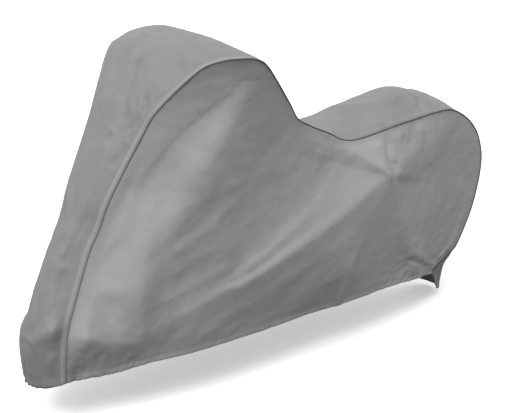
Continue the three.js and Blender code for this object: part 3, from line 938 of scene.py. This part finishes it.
@dataclass
class CentrePanel:
    """The long strip from the nose hem over the hump, the dip and the tail to the rear hem."""

    seams: SeamLine
    folds: tuple[Fold, ...] = CENTRE_FOLDS  # by distance along the seam, and left of the middle
    steps: Steps = (170, 190, 120)  # up the front, along the top, down the rear
    across: int = 78  # steps from the left seam to the right one
    # Power of the arch between the seams, what the hump adds to it, and how far right it leans
    crown: float = 2.1
    hump_crown: float = 0.5
    hump_lean: float = 0.15
    crumples: tuple[Crumple, ...] = (
        Crumple(3, 140, 4.2, 1.5, 8),
        Crumple(5, 58, 2.5, 2.0, 10, 0.7),
        Crumple(8, 27, 0.9, 1.5, 24, 0.7),
        Crumple(11, 12, 0.25, 1.4, -15, 0.6),
    )
    # Creases near the two hems, and distances from a hem where they have ended and are still full
    hem_crumple: Crumple = Crumple(12, 40, 4.0, 1.3, 65, 0.7)
    hem_ends: Pair = (330.0, 120.0)
    gathers: tuple[Gather, ...] = (Gather(30, 3.6, 46, 41), Gather(32, 4.4, 55, 57))  # nose, rear
    hem_fold: HemFold = HemFold()
    # How the seam allowance lifts the cloth beside the piping, and how uneven that lip is
    lip: Band = Band(2.6, 9.0, 7.0)
    lip_crumple: Crumple = Crumple(17, 55, 0.5)
    # Distances from a seam where each kind of relief starts and is full
    fold_rise: Pair = (0.0, 40.0)
    crumple_rise: Pair = (4.0, 40.0)
    hem_rise: Pair = (0.0, 14.0)
    lip_rise: Pair = (0.0, 5.0)
    # How far the rear hem hangs down, between which places left of the middle, how far above the
    # hem that starts, and how much lower its corner hangs
    flap_hang: float = 62.0
    flap_fade: Span = (-112.0, -52.0, 84.0, 116.0)
    flap_height: float = 100.0
    corner: Band = Band(4.0, 77.0, 24.0)

    def bare(self, values: Array) -> Array:
        """Works out the bare form: each line arches from seam to seam.

        At share c across, from 1 at the left seam to -1 at the right one, the rise is 1 - |c'|^p,
        where c' leans c on the hump, and the line moves from the seam to the ridge by that share.

        Args:
            values: Table values, one row for each line.

        Returns:
            Points, of shape (lines, across + 1, 3).
        """
        t = np.linspace(0, 1, self.across + 1)
        cross = 0.5 * np.cos(np.pi * t) + 0.5 - t
        share = self.seams.hump_share(values)[:, None]
        leaned = cross + self.hump_lean * share * (1 - cross**2)
        arch = 1 - np.abs(leaned) ** (self.crown + self.hump_crown * share)
        left, right = (self.seams.points(values, side)[:, None] for side in (Side.LEFT, Side.RIGHT))
        grid = np.where((cross >= 0)[None, :, None], left, right)
        grid[..., 0] += (values[:, 3] - values[:, 0])[:, None] * arch
        grid[..., 1] *= np.abs(cross)
        grid[..., 2] += self.seams.right_drop * share * (1 - cross**2) * (cross < 0)
        grid[..., 2] += (values[:, 4] - values[:, 2])[:, None] * arch
        return grid

    def cloth(self) -> Cloth:
        """Works out the panel with its folds, crumples, gathers and hems.

        Returns:
            The cloth.
        """
        values = self.seams.whole(self.steps)
        grid = self.bare(values)
        left, width = grid[..., 1], length_along(grid, 1)
        full = width[:, -1:]
        seam, flat = np.minimum(width, full - width), width - full / 2
        run = length_along(self.seams.points(values, Side.LEFT)[:, None], 0)
        place = np.broadcast_to(run, seam.shape)
        hems = (place, run[-1] - place)
        hem = np.minimum(*hems)
        lift = summed(self.folds, place, left) * smooth_step(seam, *self.fold_rise)
        creases = self.hem_crumple.at(place, flat) * smooth_step(hem, *self.hem_ends)
        creases = creases + summed(self.crumples, place, flat)
        lift = lift + creases * smooth_step(seam, *self.crumple_rise)
        waves = sum(gather.at(away, flat) for gather, away in zip(self.gathers, hems))
        lift = lift + (waves + self.hem_fold.at(hem)) * smooth_step(seam, *self.hem_rise)
        lip = self.lip.at(seam) * (0.8 + self.lip_crumple.at(place, flat * 0.1))
        lift = lift + lip * smooth_step(seam, *self.lip_rise)
        grid = grid + grid_normals(grid) * lift[..., None]
        inside = np.sqrt(np.maximum(0, np.sin(np.pi * width / full)))
        drop = self.flap_hang * plateau(left, *self.flap_fade) + self.corner.at(left) * inside
        grid[..., 2] -= drop * smooth_step(hems[1], self.flap_height, 0)
        along, weave = np.where(seam < hem, place, flat), np.stack([flat, place], axis=-1)
        return Cloth(grid, hem, seam, along, weave, self.hem_fold.thickness_at(hem))

    def build(self, material: Material) -> Piece:
        """Makes the piece, hangs it on the root and hides the solid that it replaces."""
        piece = self.cloth().closed("centre_panel_cloth", material)
        return declare(piece, "centre_panel")


@dataclass
class SidePanel:
    """A side of the cover, sewn along the front, the top and the rear, and free at its hem."""

    seams: SeamLine
    side: Side
    folds: tuple[Fold, ...]  # by distance ahead and height
    seed: int  # which small creases
    edge_folds: tuple[Fold, ...] = ()  # those that reach right to a seam
    lattice: tuple[int, int] = (40, 22)  # coarse steps on which its form is evened out
    rounds: int = 2500  # how many times it is
    steps: tuple[int, int] = (276, 150)  # steps of the mesh, along the hem and up the seams
    crowding: Pair = (0.3, 0.5)  # how much closer together they are at the edges
    belly: float = 50.0  # how far it stands out in the middle
    belly_powers: Pair = (0.75, 0.9)  # how far the belly leans back and down
    # How far the hem hangs lower behind the nose, between which distances from the front seam, and
    # how far above the hem that starts
    nose_drop: float = 17.0
    drop_fade: Span = (5.0, 60.0, 110.0, 300.0)
    drop_height: float = 150.0
    # Creases all over, creases low at both ends, and puckers beside the seams. Each begins with
    # what is added to the seed
    crumples: tuple[tuple[float, ...], ...] = (
        (0, 170, 3.2, 1.5, -28),
        (1, 76, 1.5, 2.0, -34, 0.7),
        (2, 34, 0.6, 1.5, -10, 0.7),
        (7, 14, 0.25, 1.4, 20, 0.6),
    )
    end_crumple: tuple[float, ...] = (3, 42, 3.2, 1.3, 20, 0.7)
    pucker: tuple[float, ...] = (4, 21, 1.3)
    pucker_band: Band = Band(1.0, 9.0, 16.0)
    # Places ahead between which there are no end creases, and distances from the hem where they
    # have ended and are still full
    calm: Span = (-860.0, -640.0, 260.0, 400.0)
    end_height: Pair = (260.0, 60.0)
    # The elastic at nose and tail: pitch, lift, reach, what is added to the seed, and the places
    # ahead where it starts and is full
    gathers: tuple[tuple[float, float, float, int, Pair], ...] = (
        (34, 1.4, 40, 5, (180, 330)),
        (36, 2.0, 48, 6, (-560, -760)),
    )
    hem_fold: HemFold = HemFold()
    # Distances from a seam where each kind of relief starts and is full
    fold_rise: Pair = (0.0, 48.0)
    edge_fold_rise: Pair = (0.0, 12.0)
    crumple_rise: Pair = (4.0, 60.0)
    end_rise: Pair = (4.0, 30.0)
    pucker_rise: Pair = (1.0, 7.0)
    hem_rise: Pair = (0.0, 14.0)

    def edges(self, s: Array, t: Array) -> tuple[Array, Array, Array, Array]:
        """Works out the four edges of the patch.

        Args:
            s: Shares along the hem and the top seam.
            t: Shares up the front and the rear seam.

        Returns:
            The hem, the top seam, the front seam and the rear seam, as points.
        """
        hem = Spline(np.array([[row.ahead, row.half, row.height] for row in HEM_ROWS], float))
        values = (
            hem.at(hem.places(0, len(HEM_ROWS) - 1, s)),
            self.seams.values(1, s),
            self.seams.values(0, t),
            self.seams.values(2, 1 - t),
        )
        return tuple(self.seams.points(value, self.side) for value in values)

    @staticmethod
    def patch(edges: tuple[Array, ...], s: Array, t: Array) -> Array:
        """Fills four edges with a Coons patch: two ruled surfaces, less the flat one they share.

        Args:
            edges: The hem, the top, the front and the rear.
            s: Shares along the hem.
            t: Shares up the seams.

        Returns:
            Points, of shape (len(s), len(t), 3).
        """
        hem, top = (edge[:, None] for edge in edges[:2])
        front, rear = (edge[None] for edge in edges[2:])
        s, t = s[:, None, None], t[None, :, None]
        ruled = (1 - t) * hem + t * top + (1 - s) * front + s * rear
        ends = [(1 - t) * hem[k] + t * top[k] for k in (0, -1)]
        return ruled - (1 - s) * ends[0] - s * ends[1]

    def form(self, s: Array, t: Array) -> Array:
        """Works out the bare form, without belly and folds.

        A coarse patch is evened out, each inner point going to the middle of its four neighbours
        until it stays there. The fine grid is read from it as a smooth surface, and its edges are
        then brought exactly onto the seams.

        Args:
            s: Shares along the hem.
            t: Shares up the seams.

        Returns:
            Points, of shape (len(s), len(t), 3).
        """
        columns, rows = self.lattice
        cs, ct = np.linspace(0, 1, columns + 1), np.linspace(0, 1, rows + 1)
        coarse = self.patch(self.edges(cs, ct), cs, ct)
        for _ in range(self.rounds):
            around = coarse[:-2, 1:-1] + coarse[2:, 1:-1] + coarse[1:-1, :-2] + coarse[1:-1, 2:]
            coarse[1:-1, 1:-1] = around / 4
        up = Spline(coarse.transpose(1, 0, 2).reshape(rows + 1, -1)).at(t * rows)
        up = up.reshape(len(t), columns + 1, 3).transpose(1, 0, 2).reshape(columns + 1, -1)
        fine = Spline(up).at(s * columns).reshape(len(s), len(t), 3)
        found = (fine[:, 0], fine[:, -1], fine[0], fine[-1])
        return fine + self.patch(tuple(e - f for e, f in zip(self.edges(s, t), found)), s, t)

    @staticmethod
    def distances(grid: Array) -> tuple[Array, Array, Array, Array]:
        """Distances of each point from the hem and from the front, rear and top seams."""
        hem, front = length_along(grid, 1), length_along(grid, 0)
        return hem, front, front[-1:] - front, hem[:, -1:] - hem

    def crumple(self, more: int, *sizes: float) -> Crumple:
        """One of the panel's own crumples, whose seed is that much more than the panel's."""
        return Crumple(self.seed + more, *sizes)

    def cloth(self) -> Cloth:
        """Works out the panel with its belly, folds, crumples, puckers and hem.

        Returns:
            The cloth, with its outer face outside.
        """
        s, t = (crowded_ends(*sizes) for sizes in zip(self.steps, self.crowding))
        grid = self.form(s, t)
        ahead, height = grid[..., 0].copy(), grid[..., 2] + CREST_HEIGHT
        bows = [np.sin(np.pi * share**power) for share, power in zip((s, t), self.belly_powers)]
        belly = self.belly * np.maximum(0, bows[0][:, None] * bows[1])
        seam = np.minimum.reduce(self.distances(grid)[1:])
        lift = summed(self.folds, ahead, height) * smooth_step(seam, *self.fold_rise)
        grid[..., 1] += self.side.value * (belly + lift)
        hem, front, rear, top = self.distances(grid)
        drop = plateau(front, *self.drop_fade) * smooth_step(hem, self.drop_height, 0)
        grid[..., 2] -= self.nose_drop * drop
        seam = np.minimum.reduce((front, rear, top))
        along_seam = np.where(top < np.minimum(front, rear), front[:, -1:], hem[:1])
        along_seam = np.where(rear < np.minimum(front, top), hem[-1:], along_seam)
        crumples = tuple(self.crumple(*sizes) for sizes in self.crumples)
        ends = self.crumple(*self.end_crumple).at(ahead, height)
        ends = ends * (1 - plateau(ahead, *self.calm)) * smooth_step(hem, *self.end_height)
        pucker = self.crumple(*self.pucker).at(along_seam, seam * 0.25) * self.pucker_band.at(seam)
        low = self.hem_fold.at(hem)
        for pitch, wave, reach, more, run in self.gathers:
            gather = Gather(pitch, wave, reach, self.seed + more)
            low = low + gather.at(hem, front[:, :1]) * smooth_step(ahead, *run)
        fine = summed(crumples, ahead, height) * smooth_step(seam, *self.crumple_rise)
        fine += summed(self.edge_folds, ahead, height) * smooth_step(seam, *self.edge_fold_rise)
        fine += ends * smooth_step(seam, *self.end_rise)
        fine += pucker * smooth_step(seam, *self.pucker_rise)
        fine += low * smooth_step(seam, *self.hem_rise)
        grid = grid + self.side.value * grid_normals(grid) * fine[..., None]
        along = np.where(seam < hem, along_seam, front[:, :1])
        weave = np.stack([ahead, height], axis=-1)
        cloth = Cloth(grid, hem, seam, along, weave, self.hem_fold.thickness_at(hem))
        return cloth if self.side is Side.LEFT else cloth.turned()

    def build(self, material: Material) -> Piece:
        """Makes the piece, hangs it on the root and hides the solid that it replaces.

        Args:
            material: Its finish.

        Returns:
            The piece.
        """
        name = self.side.name.lower()
        piece = self.cloth().closed(f"{name}_side_cloth", material)
        return declare(piece, f"{name}_side_panel")


@dataclass
class SeamPiping:
    """The raised cord in a binding of darker cloth that runs along a seam."""

    seams: SeamLine  # the seams
    side: Side  # which of them
    radius: float = 2.5  # its radius, in millimetres
    # Small unevennesses of it: share of the radius, length over 2 pi, and phase
    slubs: tuple[Triple, ...] = ((0.05, 37.0, 0.0), (0.04, 13.0, 1.0))
    sides: int = 12  # points round it
    steps: Steps = (180, 200, 130)  # steps up the front, along the top and down the rear

    def build(self, material: Material) -> Piece:
        """Carries a circle along the seam: c + r (cos a * out + sin a * up), with r 0 at both ends.

        Args:
            material: Its finish.

        Returns:
            The piece, which stands for the solid piping.
        """
        path = self.seams.points(self.seams.whole(self.steps), self.side)
        way = np.gradient(path, axis=0)
        way /= np.linalg.norm(way, axis=1, keepdims=True)
        out = np.array([0.0, 1.0, 0.0]) - way * way[:, 1:2]
        out /= np.linalg.norm(out, axis=1, keepdims=True)
        angle = np.linspace(0, TURN, self.sides, endpoint=False)
        cos, sin = np.cos(angle)[:, None], np.sin(angle)[:, None]
        along = length_along(path[:, None], 0)[:, 0]
        radius = self.radius * (1 + sum(a * np.sin(along / b + c) for a, b, c in self.slubs))
        radius[[0, -1]] = 0
        circle = cos * out[:, None] + sin * np.cross(way, out)[:, None]
        rings = path[:, None] + radius[:, None, None] * circle
        index = np.arange(rings[..., 0].size).reshape(rings.shape[:2])
        after = np.roll(index, -1, axis=1)
        quads = np.stack([index[:-1], after[:-1], after[1:], index[1:]], axis=-1).reshape(-1, 4)
        name = self.side.name.lower()
        piece = add_mesh(f"{name}_piping", rings.reshape(-1, 3), quads, material)
        add_value(piece, "along", np.repeat(along, self.sides) * MILLIMETRE)
        add_value(piece, "around", np.tile(angle / TURN, len(path)))
        return declare(piece, f"{name}_seam_piping")


@dataclass(frozen=True)
class Studio:
    """The floor, the lights and the camera."""

    azimuth: float = 141.35  # the camera's direction, in degrees
    elevation: float = 18.66  # its height above the horizon, in degrees
    target: Triple = (-0.283, 0.0, 0.507 - CREST_HEIGHT * MILLIMETRE)  # the point that it looks at
    distance: float = 4.343  # how far away it is, in metres
    sensor: float = 36.0  # width of its sensor, in millimetres
    lens: float = 1303.0 / 509.0 * 36.0  # its focal length, in millimetres
    floor_size: float = 60.0  # size of the floor, in metres
    room: float = 0.92  # how strongly the room is lit from all sides
    key_from: Triple = (0.59, 0.26, 0.77)  # where the key light comes from
    key_strength: float = 1.85  # how strong it is
    key_spread: float = 30.0  # how wide it looks from the cover, in degrees

    @staticmethod
    def place(data: bpy.types.Camera | bpy.types.Light, back: Vector) -> Piece:
        """Puts a camera or a light into the scene.

        Args:
            data: The camera or light.
            back: The direction that it faces away from.

        Returns:
            Its object, at the origin.
        """
        thing = bpy.data.objects.new(data.name, data)
        thing.rotation_mode = "QUATERNION"
        thing.rotation_quaternion = back.to_track_quat("Z", "Y")
        bpy.context.scene.collection.objects.link(thing)
        return thing

    def camera(self) -> None:
        """Makes the camera at the angle of the photograph."""
        a, e = math.radians(self.azimuth), math.radians(self.elevation)
        back = Vector((math.sin(a) * math.cos(e), -math.cos(a) * math.cos(e), math.sin(e)))
        data = bpy.data.cameras.new("camera")
        data.lens, data.sensor_width = self.lens, self.sensor
        camera = self.place(data, back)
        camera.location = Vector(self.target) + back * self.distance
        bpy.context.scene.camera = camera

    def key(self) -> None:
        """Hangs the large soft key light, far off in front, above and to the left."""
        data = bpy.data.lights.new("key", "SUN")
        data.energy, data.angle = self.key_strength, math.radians(self.key_spread)
        self.place(data, Vector(self.key_from))

    def floor(self) -> None:
        """Lays a plain floor, pale to the camera and darker to the light that it throws back."""
        tree = ShaderTree(bpy.data.materials.new("pale_floor"))
        pale = tree.read("BsdfDiffuse", None, {"Color": grey(0.9)})
        glow = tree.read("Emission", None, {"Color": grey(1.0), "Strength": 0.35})
        seen = tree.read("AddShader", None, {0: pale, 1: glow})
        thrown = tree.read("BsdfDiffuse", None, {"Color": grey(0.22)})
        half = self.floor_size / MILLIMETRE / 2
        x, y = (half * np.array(signs) for signs in ((-1, 1, 1, -1), (-1, -1, 1, 1)))
        corners = np.column_stack([x, y, np.full(4, -CREST_HEIGHT)])
        add_mesh("floor", corners, np.array([[0, 1, 2, 3]]), tree.seen_as(seen, thrown))

    def world(self) -> None:
        """Lights the room from all sides with plain white."""
        tree = ShaderTree(bpy.data.worlds.new("room"))
        seen, thrown = (
            tree.read("Background", None, {"Color": grey(1.0), "Strength": strength})
            for strength in (1.0, self.room)
        )
        bpy.context.scene.world = tree.seen_as(seen, thrown)

    def build(self) -> None:
        """Sets up the floor and the lights. The camera is made before the cover."""
        self.floor()
        self.world()
        self.key()
        bpy.context.scene.view_settings.view_transform = "Standard"


@dataclass
class FittedCover:
    """The whole cover: three panels and two piped seams."""

    seams: SeamLine = field(default_factory=SeamLine)

    def build(self) -> list[Piece]:
        """Builds and dresses every piece.

        Returns:
            The pieces, the centre panel first.
        """
        # The centre panel gets darker greys than the sides as painted shade; both are the same
        # cloth
        centre_cloth = ClothFinish("centre_cloth", 0.183, 0.240, doubled=0.5, soiled=0.22).build()
        side_cloth = ClothFinish("side_cloth", 0.26, 0.33).build()
        binding = PipingFinish("piping", 0.075, 0.16).build()
        centre = CentrePanel(self.seams).build(centre_cloth)
        left = SidePanel(self.seams, Side.LEFT, LEFT_FOLDS, 21, LEFT_EDGE_FOLDS).build(side_cloth)
        right = SidePanel(self.seams, Side.RIGHT, RIGHT_FOLDS, 33).build(side_cloth)
        piping = [SeamPiping(self.seams, side).build(binding) for side in (Side.LEFT, Side.RIGHT)]
        return [centre, left, right, *piping]


def main() -> None:
    """Builds the studio and the cover in order, and reports each piece."""
    logging.basicConfig(level=logging.INFO, format="%(name)s: %(message)s")
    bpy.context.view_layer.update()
    studio = Studio()
    studio.camera()
    for piece in FittedCover().build():
        LOG.info("%s: %d faces", piece.name, len(piece.data.polygons))
    studio.build()
    bpy.context.view_layer.update()


if __name__ == "__main__":
    main()
